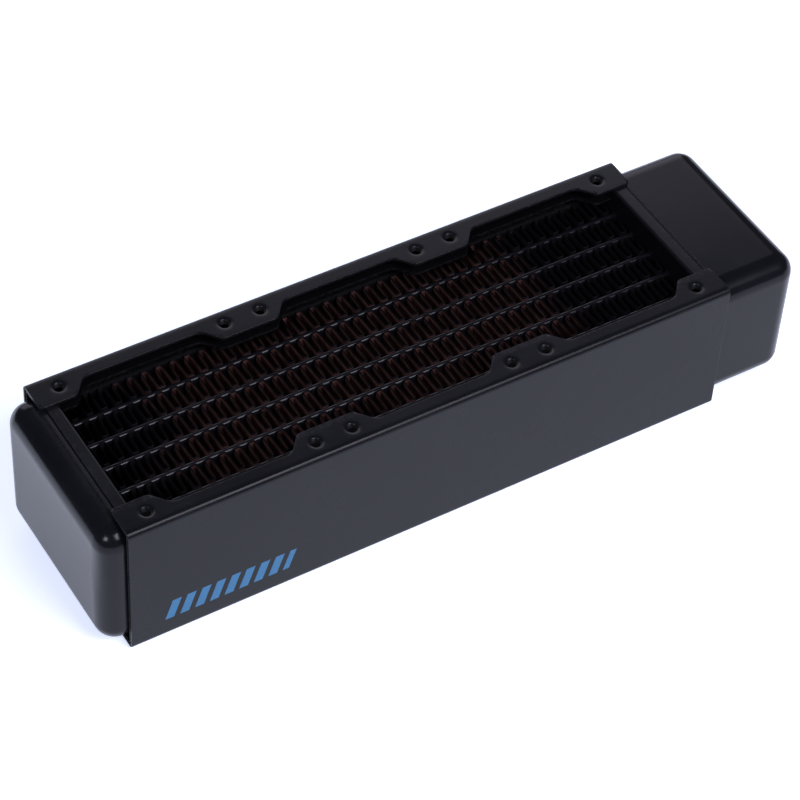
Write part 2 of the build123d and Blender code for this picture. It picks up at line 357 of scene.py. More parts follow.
def threaded_hole(outer_block, inner_block, x, y, face_z, inward, sizes):
    """Rings from a square in the flange's face down a threaded hole and back up outside its collar.

    A ring's radius is the bore's radius less the thread depth times a triangle wave, which turns
    once round the hole for each pitch of depth, so that its crests make a helix.
    """
    angle = np.linspace(0, QUARTER, 5)
    mouth_r = hole_radius + (sizes.mouth_radius - hole_radius) * (1 - np.sin(angle))
    mouth_d = sizes.mouth_depth * (1 - np.cos(angle))
    lip = 0.12 * MM
    collar = sizes.collar_radius
    thread_d = np.arange(mouth_d[-1] + lip / 2, sizes.collar_depth - 1.25 * lip, sizes.thread_pitch / 4)
    lip_d = sizes.collar_depth - lip * np.array([1, 0, 0, 1])
    lip_r = np.array([hole_radius, hole_radius + lip, collar - lip, collar])
    root_d = sizes.sheet + lip * np.array([2, 0.6, 0])
    root_r = collar + lip * np.array([0, 0.6, 2])
    depth = np.concatenate([mouth_d, thread_d, lip_d, root_d])
    radius = np.concatenate([mouth_r, np.full(len(thread_d), hole_radius), lip_r, root_r])
    threaded = np.concatenate([mouth_d * 0, thread_d * 0 + 1, lip_d * 0, root_d * 0])
    outer_rim = rim(outer_block)
    inner_rim = rim(inner_block)
    away = unit(outer_rim[:, :2] - [x, y])
    turn = np.arctan2(away[:, 1], away[:, 0]) / (2 * np.pi)
    wave = np.abs(2 * ((depth[:, None] / sizes.thread_pitch - turn) % 1) - 1)
    ring_r = radius[:, None] - sizes.thread_depth * threaded[:, None] * wave
    ring_xy = np.array([x, y]) + ring_r[..., None] * away
    ring_z = np.broadcast_to((face_z + inward * depth)[:, None, None], ring_r.shape + (1,))
    rings = np.concatenate([ring_xy, ring_z], axis=-1)
    return grid_part(np.concatenate([outer_rim[None], rings, inner_rim[None]]), wrap_columns=True)


def channel_section(sizes, x):
    """The middle line of a side channel from its top free edge round both bends to its bottom one."""
    sheet, radius = sizes.sheet, sizes.bend_radius
    edge = flange_edge(x, sizes, half_length)
    cut, drop = quarter_round(sizes.cut_radius, 3)
    window_low = np.maximum(hole_y - sizes.hole_window, edge + 4 * sizes.cut_radius)
    window_high = hole_y + sizes.hole_window
    shares = np.linspace(0, 1, 9)
    flange = [edge + c for c in cut] + [window_low + (window_high - window_low) * s for s in shares]
    thin = [sheet / 2 - d for d in drop] + [sheet / 2] * len(shares)
    top = housing_height - sheet / 2
    centre = (half_width - radius, housing_height - radius)
    arc, direction = bend(centre, radius - sheet / 2, QUARTER, -QUARTER, 8)
    wall = np.linspace(housing_height - radius, middle_z, 4)[1:]
    upper = [(y, top) for y in flange] + list(arc) + [(half_width - sheet / 2, z) for z in wall]
    normals = [(0, 1)] * len(flange) + list(direction) + [(1, 0)] * len(wall)
    halves = thin + [sheet / 2] * (len(arc) + len(wall))
    lower = [(y, housing_height - z) for y, z in upper[-2::-1]]
    rows = upper + lower
    normals = normals + [(n[0], -n[1]) for n in normals[-2::-1]]
    return rows, normals, halves + halves[-2::-1], len(cut)


def side_channel_parts(sizes, side):
    """A bent channel with scalloped flanges: its section carried along x, with a threaded hole per window."""
    x = flange_stations(sizes, half_length, hole_xs)
    rows, normals, halves, first = channel_section(sizes, x)
    middle, normal, half = carry(rows, normals, halves, x, side)
    half = half - end_drop(x, half_length, sizes.cut_radius)
    outer, inner = sheet_surfaces(middle, normal, half)
    keep = np.ones((len(rows) - 1, len(x) - 1), bool)
    last = len(rows) - 1 - first
    holes = []
    for hole_x in hole_xs:
        column = int(np.searchsorted(x, hole_x - sizes.hole_window - NEAR))
        for row, face_z, inward in ((first, housing_height, -1), (last - 8, 0, 1)):
            keep[row : row + 8, column : column + 8] = False
            block = np.s_[row : row + 9, column : column + 9]
            place = (hole_x, side * hole_y, face_z)
            holes.append(threaded_hole(outer[block], inner[block], *place, inward, sizes))
    return sheet_parts(outer, inner, keep) + holes


def screw_guard_parts(sizes, side, node):
    """An angle strip: one leg under the flange with the same scallops, the other up or down the side wall."""
    low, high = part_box(node)
    sheet, radius = sizes.guard_sheet, sizes.guard_bend
    top = low.z > middle_z
    reach = max(abs(low.y), abs(high.y))
    x = flange_stations(sizes, high.x, np.zeros(0))
    edge = flange_edge(x, sizes, high.x)
    cut, drop = quarter_round(sizes.cut_radius, 3)
    floor = edge + sizes.cut_radius
    leg = [edge + c for c in cut] + [floor + (reach - radius - floor) * s for s in (0.3, 0.7)]
    arc, direction = bend((reach - radius, radius), radius - sheet / 2, -QUARTER, QUARTER, 6)
    tip = high.z - low.z
    wall = [radius + (tip - cut[-1] - radius) * 0.5] + list(tip - cut[::-1])
    rows = [(y, sheet / 2) for y in leg] + list(arc) + [(reach - sheet / 2, z) for z in wall]
    normals = [(0, -1)] * len(leg) + list(direction) + [(1, 0)] * len(wall)
    halves = [sheet / 2 - d for d in drop] + [sheet / 2] * (len(leg) - len(drop) + len(arc) + 1)
    halves += [sheet / 2 - d for d in drop[::-1]]
    middle, normal, half = carry(rows, normals, halves, x, side)
    half = half - end_drop(x, high.x, sizes.cut_radius)
    outer, inner = sheet_surfaces(middle, normal, half)
    for surface in (outer, inner):
        surface[..., 2] = low.z + surface[..., 2] if top else high.z - surface[..., 2]
    return sheet_parts(outer, inner)


def side_plate_parts(sizes, side, node):
    """A plate beside the outer fins with a lip at the top and bottom: one section carried along x."""
    low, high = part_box(node)
    sheet, radius = sizes.plate_sheet, sizes.plate_bend
    inner_y, outer_y = sorted((abs(low.y), abs(high.y)))
    cut, drop = quarter_round(sizes.cut_radius, 3)
    ends, _ = quarter_round(sizes.cut_radius, 4)
    x = np.unique(np.concatenate([high.x - ends, ends - high.x, np.linspace(-high.x, high.x, 9)[1:-1]]))
    arc, direction = bend((inner_y + radius, high.z - radius), radius - sheet / 2, QUARTER, QUARTER, 6)
    lip = [(outer_y - c, high.z - sheet / 2) for c in cut]
    upper = lip + list(arc) + [(inner_y + sheet / 2, middle_z)]
    rows = upper + [(y, 2 * middle_z - z) for y, z in upper[-2::-1]]
    normals = [(0, 1)] * len(lip) + list(direction) + [(-1, 0)]
    normals = normals + [(n[0], -n[1]) for n in normals[-2::-1]]
    halves = [sheet / 2 - d for d in drop] + [sheet / 2] * (len(arc) + 1)
    middle, normal, half = carry(rows, normals, halves + halves[-2::-1], x, side)
    half = half - end_drop(x, high.x, sizes.cut_radius)
    return sheet_parts(*sheet_surfaces(middle, normal, half))


# ---- pans: header plates and tanks ----


def pan(lines_w, lines_y, lines_z, radius):
    """An open pan with round edges, as the side rings and the end face of a box.

    Every point of the box goes to one radius from the nearest point of a smaller box; w runs from
    the open mouth at 0 to the closed end. Returned as that nearest point and the way out from it.
    """
    reach, half_y, half_z = lines_w[-1], lines_y[-1], lines_z[-1]
    y, z = np.meshgrid(lines_y, lines_z, indexing="ij")
    face = np.stack([np.full_like(y, reach), y, z], axis=-1)
    rings = np.repeat(rim(face)[None], len(lines_w), axis=0)
    rings[..., 0] = lines_w[:, None]
    surfaces = []
    for box in (rings, face):
        core_w = np.minimum(box[..., 0], reach - radius)
        core_y = np.clip(box[..., 1], radius - half_y, half_y - radius)
        core_z = np.clip(box[..., 2], radius - half_z, half_z - radius)
        core = np.stack([core_w, core_y, core_z], axis=-1)
        surfaces.append((core, unit(box - core)))
    return surfaces


def set_pan(points, mouth_x, direction):
    """Pan points put in place: w becomes x from the mouth, and z is measured from the core's middle."""
    return points * [direction, 1, 1] + [mouth_x, 0, middle_z]


def pan_reach(radius, reach, cut_radius, inside=()):
    """Rings along a pan's side: its rounded lip, those given, and close together over the end's rounding."""
    lip, drop = quarter_round(cut_radius, 3)
    end = reach - radius + radius * np.tan(np.linspace(0, np.pi / 4, 8))
    lines = np.unique(np.round(np.concatenate([lip, np.atleast_1d(inside).ravel(), end]), 8))
    return lines, np.interp(lines, lip, drop)


def tank_parts(sizes, mouth_x, end_x, seats=()):
    """A drawn tank: the pan's two skins one wall apart, with a round seat in the floor for each bush."""
    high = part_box("port_tank")[1]
    direction = np.sign(end_x)
    radius, wall = sizes.tank_radius, sizes.tank_wall
    seat_margin = 0.6 * MM
    window = sizes.port_body + seat_margin
    steps = window * np.linspace(-1, 1, 9)
    seat_y = [y + steps for x, y in seats] or [0]
    seat_w = [abs(x - mouth_x) + steps for x, y in seats[:1]] or [0.5 * abs(end_x - mouth_x)]
    lines_y = corner_lines(high.y, radius, 7, seat_y)
    lines_z = corner_lines(high.z - middle_z, radius, 7, 0)
    lines_w, drop = pan_reach(radius, abs(end_x - mouth_x), sizes.cut_radius, seat_w)
    (core, away), (end_core, end_away) = pan(lines_w, lines_y, lines_z, radius)
    drop = drop[:, None, None]
    outer = set_pan(core + away * (radius - drop), mouth_x, direction)
    inner = set_pan(core + away * (radius - wall + drop), mouth_x, direction)
    outer_end = set_pan(end_core + end_away * radius, mouth_x, direction)
    inner_end = set_pan(end_core + end_away * (radius - wall), mouth_x, direction)
    keep = np.ones((len(lines_w) - 1, outer.shape[1]), bool)
    floor_start = 2 * (len(lines_z) - 1) + len(lines_y) - 1
    holes = []
    for x, y in seats:
        row = int(np.searchsorted(lines_w, abs(x - mouth_x) - window - NEAR))
        from_end = len(lines_y) - 1 - int(np.searchsorted(lines_y, y - window - NEAR)) - 8
        column = floor_start + from_end
        keep[row : row + 8, column : column + 8] = False
        block = np.s_[row : row + 9, column : column + 9]
        outer_rim, inner_rim = rim(outer[block]), rim(inner[block])
        circle = rounded_rim(outer_rim[:, :2] - [x, y], (sizes.port_body,) * 2, sizes.port_body) + [x, y]
        upper = np.column_stack([circle, outer_rim[:, 2]])
        lower = np.column_stack([circle, inner_rim[:, 2]])
        holes.append(grid_part(np.stack([outer_rim, upper, lower, inner_rim]), wrap_columns=True))
    mouth = grid_part(np.stack([outer[0], inner[0]]), wrap_columns=True)
    sides = [grid_part(skin, wrap_columns=True, keep=keep) for skin in (outer, inner)]
    return sides + [grid_part(outer_end), grid_part(inner_end), mouth] + holes


def header_parts(sizes, node):
    """A pressed dish round the tank's mouth: two pans, a soldered seam in the skirt, and a slot per tube.

    The skirt's face drops by straight steps between a few stations across the seam. Round each
    tube, rings rise from the web to a low fillet of solder and go down through the slot.
    """
    low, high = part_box(node)
    direction = -np.sign(low.x)
    mouth_x = high.x if direction < 0 else low.x
    reach = high.x - low.x
    radius, skirt, web = sizes.header_radius, sizes.header_skirt, sizes.header_web
    inner_radius = 0.5 * MM
    slot_margin = 0.5 * MM
    skirt_lip = 0.06 * MM
    boxes = [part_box(name) for name in tube_rows]
    rows_y = np.array([(a.y + b.y) / 2 for a, b in boxes])
    tube_r = (boxes[0][1].y - boxes[0][0].y) / 2
    tube_half = (boxes[0][1].z - boxes[0][0].z) / 2
    across = (tube_r + slot_margin) * np.linspace(-1, 1, 5)
    nose = tube_half - tube_r + tube_r * np.tan(np.linspace(0, np.pi / 4, 4))
    window_end = tube_half + slot_margin
    along = np.unique(np.concatenate([-nose, nose, [0, window_end, -window_end]]))
    seam_w = sizes.seam_place + sizes.seam_width * np.array([-0.5, -0.3, 0, 0.3, 0.42, 0.5, 0.7])
    seam_edge = np.array([0.25, 0.07, 0]) * MM
    seam_drop = np.concatenate([[sizes.tail_drop], np.full(3, sizes.seam_depth), seam_edge])
    lines_w, drop = pan_reach(radius, reach, skirt_lip, seam_w)
    drop = drop + np.interp(lines_w, seam_w, seam_drop)
    half_z = high.z - middle_z
    slots_y = rows_y[:, None] + across
    lines_y = corner_lines(high.y, radius, 4, slots_y)
    lines_z = corner_lines(half_z, radius, 4, along)
    (core, away), (end_core, end_away) = pan(lines_w, lines_y, lines_z, radius)
    outer = set_pan(core + away * (radius - drop[:, None, None]), mouth_x, direction)
    outer_end = set_pan(end_core + end_away * radius, mouth_x, direction)
    inner_w = lines_w * (reach - web) / reach
    inner_y = corner_lines(high.y - skirt, inner_radius, 4, slots_y)
    inner_z = corner_lines(half_z - skirt, inner_radius, 4, along)
    inner_pan = pan(inner_w, inner_y, inner_z, inner_radius)
    inner, inner_end = [set_pan(c + a * inner_radius, mouth_x, direction) for c, a in inner_pan]
    keep = np.ones((outer_end.shape[0] - 1, outer_end.shape[1] - 1), bool)
    first_z = int(np.searchsorted(lines_z, along[0] - NEAR))
    # Each ring of the solder fillet: how far it stands out from the tube, and how high it rises.
    fillet = np.array([(0.45, 0.0), (0.2, 0.06), (0.0, 0.22), (0.0, 0.0)]) * MM
    slots = []
    for y in rows_y:
        first_y = int(np.searchsorted(lines_y, y + across[0] - NEAR))
        keep[first_y : first_y + 4, first_z : first_z + len(along) - 1] = False
        block = np.s_[first_y : first_y + 5, first_z : first_z + len(along)]
        outer_rim, inner_rim = rim(outer_end[block]), rim(inner_end[block])
        flat = outer_rim[:, 1:] - [y, middle_z]
        rings = [outer_rim]
        for grow, lift in fillet:
            half = np.array([tube_r, tube_half]) + grow
            ring = rounded_rim(flat, half, half[0]) + [y, middle_z]
            rings.append(np.column_stack([outer_rim[:, 0] + direction * lift, ring]))
        rings.append(np.column_stack([inner_rim[:, 0], ring]))
        rings.append(inner_rim)
        slots.append(grid_part(np.stack(rings), wrap_columns=True))
    mouth = grid_part(np.stack([outer[0], inner[0]]), wrap_columns=True)
    sides = [grid_part(outer, wrap_columns=True), grid_part(inner, wrap_columns=True), mouth]
    return sides + [grid_part(outer_end, keep=keep), grid_part(inner_end, keep=keep)] + slots


# ---- core and ports ----


def flat_tube_parts(sizes, node):
    """A flat tube with round noses: an obround loop carried along x, with its bore a wall inside it."""
    low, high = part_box(node)
    end_radius = 0.08 * MM
    half = np.array([high.y - low.y, high.z - low.z]) / 2
    flat = np.linspace(0, half[1] - half[0], 4)[:-1]
    lines_y = corner_lines(half[0], half[0], 6)
    lines_z = corner_lines(half[1], half[0], 6, np.concatenate([-flat, flat]))
    box = rim(np.stack(np.meshgrid(lines_y, lines_z, indexing="ij"), axis=-1))
    ends, drop = quarter_round(end_radius, 3)
    between = np.linspace(-high.x, high.x, 42)[1:-1]
    x = np.concatenate([-high.x + ends, between, high.x - ends[::-1]])
    drop = np.concatenate([drop, 0 * between, drop[::-1]])
    skins = []
    for inset, sign in ((0, 1), (sizes.tube_wall, -1)):
        loop = rounded_rim(box, half - inset, half[0] - inset)
        away = unit(loop - np.clip(loop, half[0] - half, half - half[0]))
        rings = loop - sign * away * drop[:, None, None]
        middle = [(low.y + high.y) / 2, (low.z + high.z) / 2]
        place = np.broadcast_to(x[:, None, None], rings.shape[:2] + (1,))
        skins.append(np.concatenate([place, rings + middle], axis=-1))
    caps = [np.stack([skins[0][end], skins[1][end]]) for end in (0, -1)]
    return [grid_part(points, wrap_columns=True) for points in skins + caps]


def fin_strip_parts(sizes, node):
    """A strip folded into waves and thickened.

    Its middle line is y = reach * tanh(c sin a) / tanh(c), where a runs through one turn for each
    wave along x. A large c gives broad crests and nearly straight flanks.
    """
    low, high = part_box(node)
    crest = 6.0
    edge = 0.04 * MM
    waves = sizes.fin_waves
    reach = (high.y - low.y - sizes.fin_sheet) / 2
    quarter = np.array([0, 5, 9, 12, 15, 19, 24, 32, 50])
    turn = np.concatenate([quarter, [90], 180 - quarter[:0:-1]])
    turn = np.radians(np.concatenate([turn, turn + 180]))
    angle = np.concatenate([(turn + 2 * np.pi * np.arange(waves)[:, None]).ravel(), [2 * np.pi * waves]])
    half_run = max(-low.x, high.x)
    x = -half_run + 2 * half_run * angle / angle[-1]
    y = reach * np.tanh(crest * np.sin(angle)) / np.tanh(crest)
    line = np.stack([x, y], axis=-1)
    along = unit(np.gradient(line, axis=0))
    across = np.stack([-along[:, 1], along[:, 0]], axis=-1)
    z = np.array([low.z, low.z + edge, high.z - edge, high.z])[:, None, None]
    half = np.array([0.5, 1, 1, 0.5]) * sizes.fin_sheet / 2
    shape = (len(z), len(x))
    level = np.broadcast_to(line + [0, (low.y + high.y) / 2], shape + (2,))
    middle = np.concatenate([level, np.broadcast_to(z, shape + (1,))], axis=-1)
    normal = np.concatenate([np.broadcast_to(across, shape + (2,)), np.zeros(shape + (1,))], axis=-1)
    return sheet_parts(*sheet_surfaces(middle, normal, np.repeat(half[:, None], len(x), axis=1)))


def port_bush_parts(sizes, node):
    """A turned bush: a closed profile carried once round its axis, with a helical thread in its bore.

    The thread deepens the bore by its depth times a flattened triangle wave, which turns once round
    the axis for each pitch of height.
    """
    low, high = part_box(node)
    centre = [(low.x + high.x) / 2, (low.y + high.y) / 2]
    flange_r = (high.x - low.x) / 2
    bore, body = sizes.port_bore, sizes.port_body
    lip, chamfer, small, inner_lip = 0.25 * MM, 0.8 * MM, 0.1 * MM, 0.3 * MM
    shoulder = low.z + sizes.port_flange
    thread_z = np.arange(high.z - 0.5 * MM, low.z + chamfer, -sizes.port_pitch / 10)
    corners = [
        (bore + chamfer, low.z),
        (flange_r - lip, low.z),
        (flange_r - 0.3 * lip, low.z + 0.3 * lip),
        (flange_r, low.z + lip),
        (flange_r, shoulder - small),
        (flange_r - small, shoulder),
        (body, shoulder),
        (body, high.z - lip),
        (body - lip, high.z),
        (bore + inner_lip, high.z),
        (bore, high.z - inner_lip),
    ]
    radius = np.array([r for r, z in corners] + [bore] * len(thread_z))
    height = np.array([z for r, z in corners] + list(thread_z))
    cut = np.clip((height - low.z - chamfer) / MM, 0, 1) * (np.arange(len(radius)) >= len(corners))
    turn = np.linspace(0, 1, 96, endpoint=False)
    wave = np.abs(2 * ((height[:, None] / sizes.port_pitch - turn) % 1) - 1)
    ring = radius[:, None] + sizes.port_thread * cut[:, None] * np.clip(1.4 * wave - 0.2, 0, 1)
    x = centre[0] + ring * np.cos(2 * np.pi * turn)
    y = centre[1] + ring * np.sin(2 * np.pi * turn)
    points = np.stack([x, y, np.broadcast_to(height[:, None], ring.shape)], axis=-1)
    return [grid_part(points, wrap_rows=True, wrap_columns=True)]


# ---- shader nodes ----


def feed(tree, node, values):
    """Link sockets to a node's inputs, or set the inputs to plain values."""
    for key, value in values.items():
        if isinstance(value, bpy.types.NodeSocket):
            tree.links.new(value, node.inputs[key])
        else:
            node.inputs[key].default_value = value


def add_node(tree, kind, inputs=None, **settings):
    """A node with its settings and its inputs."""
    node = tree.nodes.new(kind)
    for name, value in settings.items():
        setattr(node, name, value)
    feed(tree, node, inputs or {})
    return node


def maths(tree, operation, *values):
    """The result of a Math node."""
    return add_node(tree, "ShaderNodeMath", dict(enumerate(values)), operation=operation).outputs[0]


def away_from(tree, value, middle):
    """The distance of a value from a middle value, on either side."""
    return maths(tree, "ABSOLUTE", maths(tree, "SUBTRACT", value, middle))


def split(tree, place):
    """The X, Y and Z of a place."""
    return add_node(tree, "ShaderNodeSeparateXYZ", {0: place}).outputs


def bump(tree, height, strength, distance):
    """A normal bent by a height."""
    inputs = {"Strength": strength, "Distance": distance, "Height": height}
    return add_node(tree, "ShaderNodeBump", inputs).outputs[0]


def fade(tree, value, low, high, to_low=0.0, to_high=1.0):
    """A smooth change from one value to another as the input goes from low to high."""
    inputs = {"Value": value, "From Min": low, "From Max": high, "To Min": to_low, "To Max": to_high}
    return add_node(tree, "ShaderNodeMapRange", inputs, interpolation_type="SMOOTHSTEP").outputs[0]


def blend(tree, factor, first, second):
    """A mix of two colours."""
    node = add_node(tree, "ShaderNodeMix", data_type="RGBA")
    feed(tree, node, {0: factor, 6: first, 7: second})
    return node.outputs[2]


def noise(tree, place, scale, detail=2.0):
    """A noise value over the object's own coordinates, with its scale in waves per metre."""
    inputs = {"Vector": place, "Scale": scale, "Detail": detail}
    return add_node(tree, "ShaderNodeTexNoise", inputs).outputs[0]


def solid(rgb, share=1.0):
    """A share of a colour, with full alpha."""
    return (*[channel * share for channel in rgb], 1.0)


def new_group(name, inputs, outputs):
    """An empty shader node group: its tree, place coordinates, given inputs and output node."""
    tree = bpy.data.node_groups.new(name, "ShaderNodeTree")
    for label, default in inputs.items():
        socket = tree.interface.new_socket(label, in_out="INPUT", socket_type="NodeSocketFloat")
        socket.default_value = default
    for label, kind in outputs.items():
        tree.interface.new_socket(label, in_out="OUTPUT", socket_type=kind)
    place = add_node(tree, "ShaderNodeTexCoord").outputs["Object"]
    return tree, place, tree.nodes.new("NodeGroupInput").outputs, tree.nodes.new("NodeGroupOutput")


def coat_grain_group():
    """Spray coat: orange peel and fine grit in the normal, cloudy gloss, and sparse pale specks."""
    inputs = {"Peel": 1.0, "Low gloss": 0.3, "High gloss": 0.4}
    outputs = {
        "Roughness": "NodeSocketFloat",
        "Normal": "NodeSocketVector",
        "Specks": "NodeSocketFloat",
        "Cloud": "NodeSocketFloat",
    }
    tree, place, given, out = new_group("coat_grain", inputs, outputs)
    peel = noise(tree, place, 700.0, 1.5)
    grit = noise(tree, place, 5200.0, 2.0)
    height = maths(tree, "MULTIPLY_ADD", grit, 0.22, peel)
    normal = bump(tree, height, maths(tree, "MULTIPLY", given["Peel"], 0.16), 0.06 * MM)
    cloud = fade(tree, noise(tree, place, 42.0, 4.0), 0.3, 0.7)
    spread = maths(tree, "SUBTRACT", given["High gloss"], given["Low gloss"])
    patches = maths(tree, "MULTIPLY_ADD", grit, 0.3, cloud)
    rough = maths(tree, "MULTIPLY_ADD", patches, spread, given["Low gloss"])
    cells = add_node(tree, "ShaderNodeTexVoronoi", {"Vector": place, "Scale": 310.0}, feature="F1")
    dot = fade(tree, cells.outputs["Distance"], 0.02, 0.07, 1.0, 0.0)
    lot = add_node(tree, "ShaderNodeSeparateColor", {0: cells.outputs["Color"]}).outputs[0]
    specks = maths(tree, "MULTIPLY", dot, fade(tree, lot, 0.93, 0.96))
    feed(tree, out, {"Roughness": rough, "Normal": normal, "Specks": specks, "Cloud": cloud})
    return tree


def edge_rub_group():
    """A mask of painted highlight on outer edges, from the mesh's own convexity, broken up by fine noise."""
    tree, place, given, out = new_group("edge_rub", {"Amount": 1.0}, {"Painted highlight": "NodeSocketFloat"})
    convex = fade(tree, add_node(tree, "ShaderNodeNewGeometry").outputs["Pointiness"], 0.51, 0.56)
    broken = fade(tree, noise(tree, place, 900.0, 3.0), 0.35, 0.75)
    mask = maths(tree, "MULTIPLY", maths(tree, "MULTIPLY", convex, broken), given["Amount"])
    feed(tree, out, {"Painted highlight": mask})
    return tree


def overspray_group():
    """How much black spray has reached the core: all of it at both ends and the faces, less in the middle."""
    inputs = {
        "Bare middle": -6 * MM,
        "Bare half length": 45 * MM,
        "Face depth": 0.6 * MM,
        "Middle height": middle_z,
        "Half depth": (fin_high.z - fin_low.z) / 2,
    }
    tree, place, given, out = new_group("overspray", inputs, {"Spray": "NodeSocketFloat"})
    axes = split(tree, place)
    drift = maths(tree, "MULTIPLY_ADD", noise(tree, place, 55.0, 3.0), 50 * MM, -25 * MM)
    along = away_from(tree, maths(tree, "ADD", axes["X"], drift), given["Bare middle"])
    far = maths(tree, "ADD", given["Bare half length"], 22 * MM)
    ends = fade(tree, along, given["Bare half length"], far)
    height = away_from(tree, axes["Z"], given["Middle height"])
    skin = maths(tree, "SUBTRACT", given["Half depth"], given["Face depth"])
    faces = maths(tree, "GREATER_THAN", height, skin)
    speckle = fade(tree, noise(tree, place, 1500.0, 2.0), 0.55, 0.75, 0.0, 0.5)
    feed(tree, out, {"Spray": maths(tree, "MAXIMUM", maths(tree, "MAXIMUM", ends, faces), speckle)})
    return tree


def shared_group(build):
    """A node group that is built the first time it is asked for."""
    name = build.__name__.replace("_group", "")
    return bpy.data.node_groups.get(name) or build()


def new_material(name):
    """A material with only its Principled shader, and its place coordinates."""
    material = bpy.data.materials.new(name)
    material.use_nodes = True
    tree = material.node_tree
    shader = next(node for node in tree.nodes if node.type == "BSDF_PRINCIPLED")
    return material, tree, shader, add_node(tree, "ShaderNodeTexCoord").outputs["Object"]


def printed_bars(tree, place):
    """A mask of slanted bars of one height on the near wall."""
    left, right, low, high = -84.0 * MM, -46.5 * MM, 6.7 * MM, 13.4 * MM
    lean, pitch, bar_share = 0.35, 4.45 * MM, 0.6
    axes = split(tree, place)
    lift = maths(tree, "SUBTRACT", axes["Z"], low)
    slid = maths(tree, "SUBTRACT", axes["X"], maths(tree, "MULTIPLY", lift, lean))
    count = maths(tree, "DIVIDE", maths(tree, "SUBTRACT", slid, left), pitch)
    mask = maths(tree, "LESS_THAN", maths(tree, "FRACT", count), bar_share)
    limits = (
        maths(tree, "GREATER_THAN", slid, left),
        maths(tree, "LESS_THAN", slid, right),
        maths(tree, "GREATER_THAN", axes["Z"], low),
        maths(tree, "LESS_THAN", axes["Z"], high),
        maths(tree, "LESS_THAN", axes["Y"], -half_width + 0.2 * MM),
    )
    for limit in limits:
        mask = maths(tree, "MULTIPLY", mask, limit)
    return mask


def inner_wall_mask(tree, place):
    """A mask of a channel's inner faces: between its outer faces, with a short fade below each flange's."""
    axes = split(tree, place)
    height = away_from(tree, axes["Z"], middle_z)
    between = fade(tree, height, middle_z - 0.7 * MM, middle_z - 0.3 * MM, 1.0, 0.0)
    within = maths(tree, "LESS_THAN", away_from(tree, axes["Y"], 0.0), half_width - 0.5 * MM)
    return maths(tree, "MULTIPLY", between, within)


def coat_material(finish, name, gloss, peel, dull_and_shaded=0.0, inner_wall=False, printed=False):
    """Satin black spray coat with orange peel, cloudy gloss, fine dust and a painted highlight on outer
    edges.

    A dull coat is rougher and reflects less, and its colour is darker with painted shade. On a
    channel, the inner wall is rougher too, and darker with painted shade. The print is for the near channel.
    """
    # The pale colour is a painted highlight on outer edges; the near-black colour is painted shade on a
    # channel's inner wall.
    highlight_colour, painted_shade_colour = (0.035, 0.035, 0.04, 1.0), (0.001, 0.001, 0.001, 1.0)
    material, tree, shader, place = new_material(name)
    middle, spread = gloss + 0.3 * dull_and_shaded, 0.03
    gloss_range = {"Peel": peel, "Low gloss": middle - spread, "High gloss": middle + spread}
    grain = add_node(tree, "ShaderNodeGroup", node_tree=shared_group(coat_grain_group))
    highlight_node = add_node(tree, "ShaderNodeGroup", node_tree=shared_group(edge_rub_group))
    feed(tree, grain, gloss_range)
    feed(tree, highlight_node, {"Amount": 0.35})
    # Painted shade: a dull coat's colour is a smaller share of the coat colour.
    share = 1 - 0.7 * dull_and_shaded
    base = blend(tree, grain.outputs["Cloud"], solid(finish.coat, 0.8 * share), solid(finish.coat, share))
    base = blend(tree, maths(tree, "MULTIPLY", grain.outputs["Specks"], 0.15), base, solid(finish.dust))
    # Painted highlight: outer edges are blended towards a paler colour.
    base = blend(tree, highlight_node.outputs["Painted highlight"], base, highlight_colour)
    rough = grain.outputs["Roughness"]
    if printed:
        base = blend(tree, printed_bars(tree, place), base, solid(finish.ink))
    if inner_wall:
        inside = inner_wall_mask(tree, place)
        # Painted shade: a channel's inner wall is blended towards near black.
        base = blend(tree, maths(tree, "MULTIPLY", inside, 0.7), base, painted_shade_colour)
        rough = maths(tree, "MULTIPLY_ADD", inside, 0.45, rough)
    feed(tree, shader, {"Base Color": base, "Roughness": rough, "Normal": grain.outputs["Normal"]})
    feed(tree, shader, {"Specular IOR Level": 0.5 - 0.35 * dull_and_shaded, "IOR": 1.28})
    return material


def fin_material(finish):
    """Thin copper strip under black overspray, with fine rolling lines across the flanks."""
    line_pitch = 1.1 * MM
    material, tree, shader, place = new_material("fin_copper")
    spray = add_node(tree, "ShaderNodeGroup", node_tree=shared_group(overspray_group)).outputs["Spray"]
    tarnish = fade(tree, noise(tree, place, 240.0, 4.0), 0.3, 0.7)
    metal = blend(tree, tarnish, solid(finish.copper, 0.45), solid(finish.copper))
    base = blend(tree, spray, metal, solid(finish.overspray))
    rough = maths(tree, "MULTIPLY_ADD", spray, 0.25, 0.5)
    mirror = maths(tree, "MULTIPLY_ADD", spray, -0.45, 0.45)
    lines = maths(tree, "SINE", maths(tree, "MULTIPLY", split(tree, place)["Z"], 2 * np.pi / line_pitch))
    height = maths(tree, "MULTIPLY_ADD", noise(tree, place, 3000.0), 0.3, lines)
    normal = bump(tree, height, 0.5, 0.12 * MM)
    feed(tree, shader, {"Base Color": base, "Roughness": rough, "Metallic": mirror, "Normal": normal})
    feed(tree, shader, {"Specular IOR Level": 0.1})
    return material


